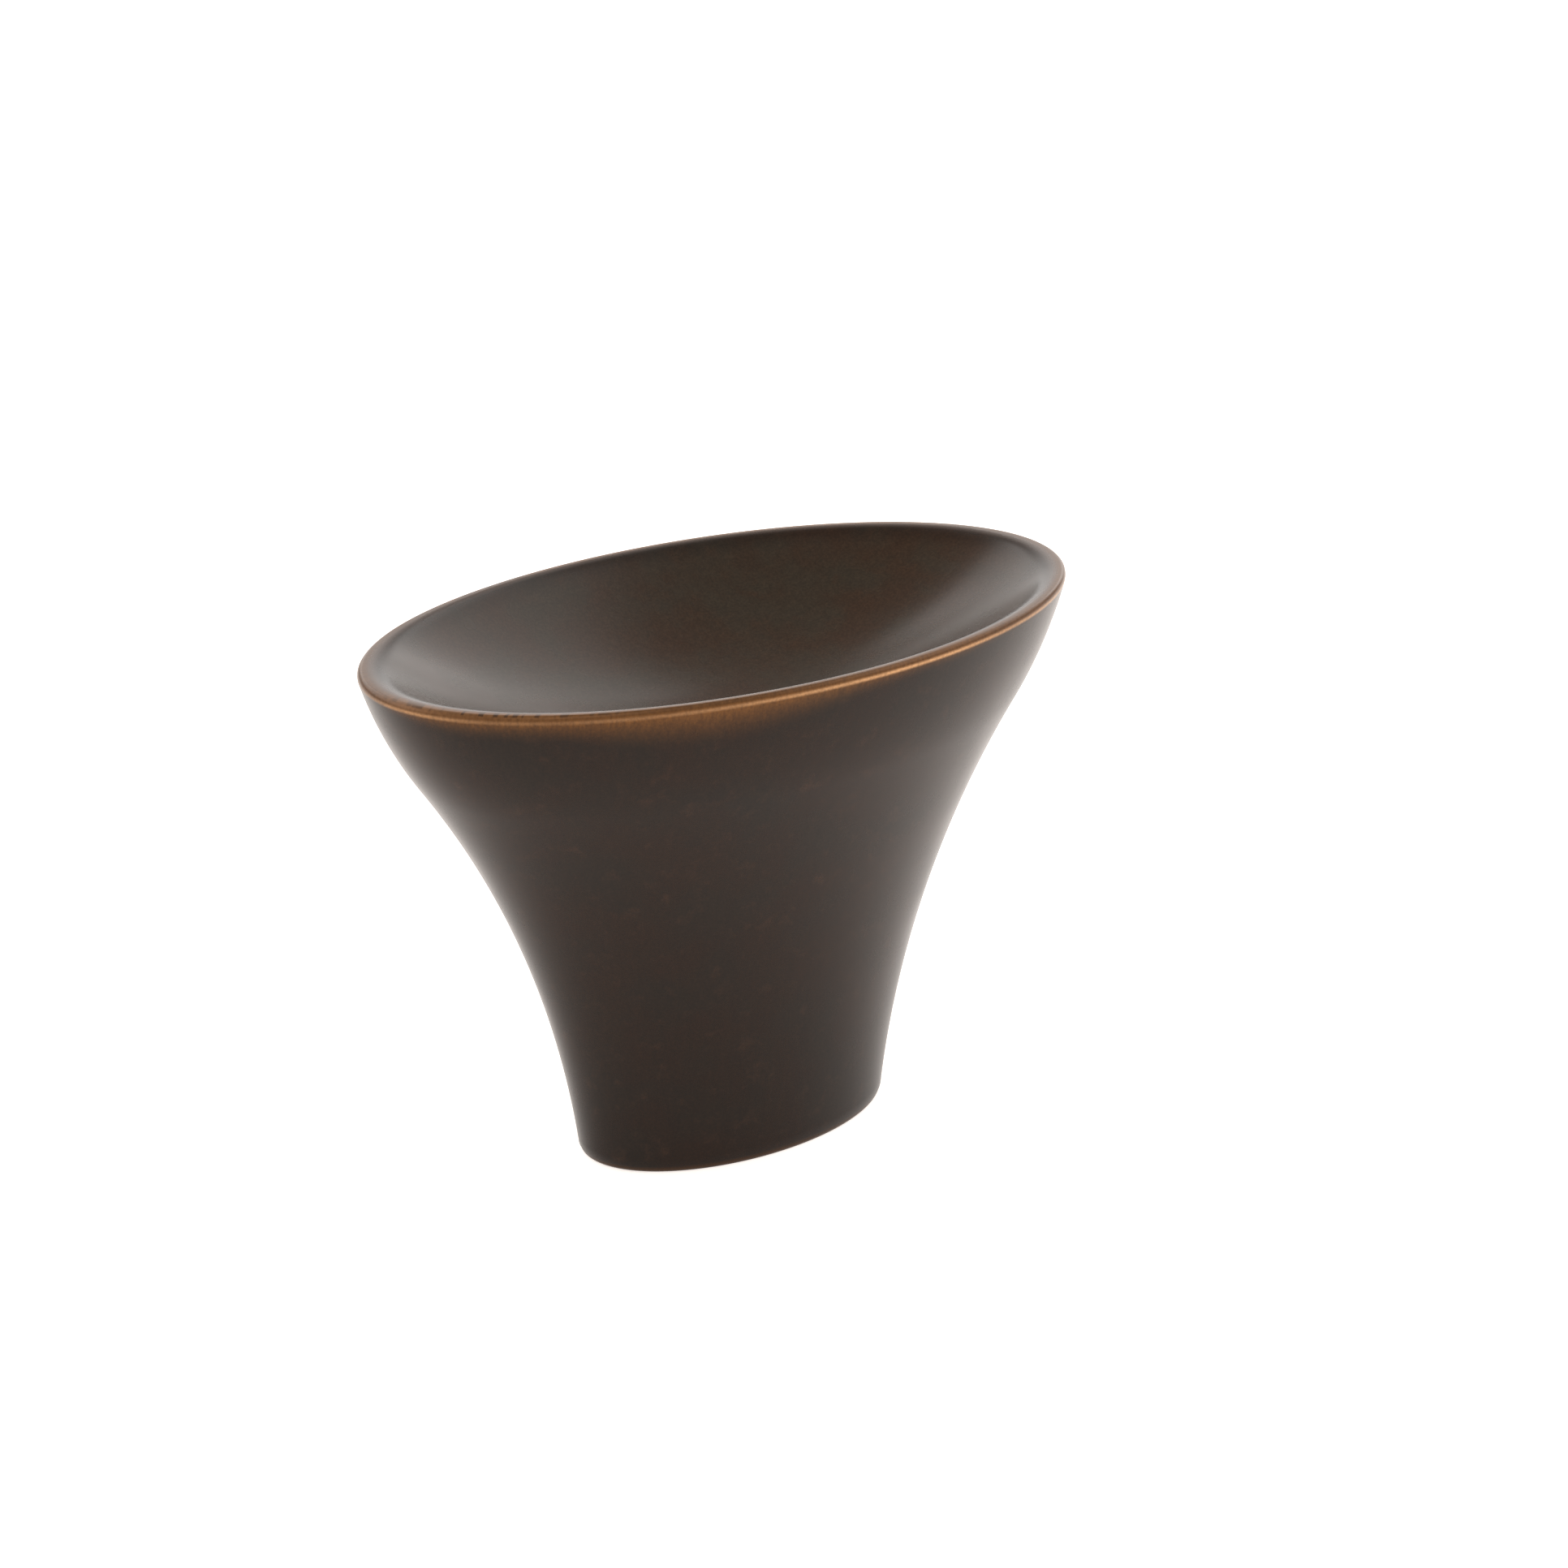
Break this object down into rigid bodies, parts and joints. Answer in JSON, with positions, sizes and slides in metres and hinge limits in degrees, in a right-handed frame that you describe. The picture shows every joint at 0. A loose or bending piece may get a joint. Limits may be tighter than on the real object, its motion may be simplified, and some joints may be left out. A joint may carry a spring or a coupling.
{
  "type": "cabinet knob",
  "caption": "Oval cabinet knob with a dished top and flared walls in dark rubbed bronze, held from behind by a machine screw.",
  "frame": {"origin": "centre of the oval base face, which sits on the front of the drawer front or door", "axes": "+Z out of the panel along the screw, +X along the knob's long axis, +Y along its short axis"},
  "size_m": [0.0444, 0.0262, 0.0514],
  "materials": {
    "rubbed_bronze": "dark oil-rubbed bronze patina, satin, rubbed through to copper along the rim",
    "zinc_plate": "bright zinc plate"
  },
  "bodies": {
    "knob": {"knob_casting": "rubbed_bronze"},
    "screw": {"mounting_screw": "zinc_plate"}
  },
  "joints": [
    {"name": "screw_travel", "type": "slide", "parent": "knob", "child": "screw", "axis": [0, 0, 1], "range_m": [-0.0127, 0]}
  ]
}
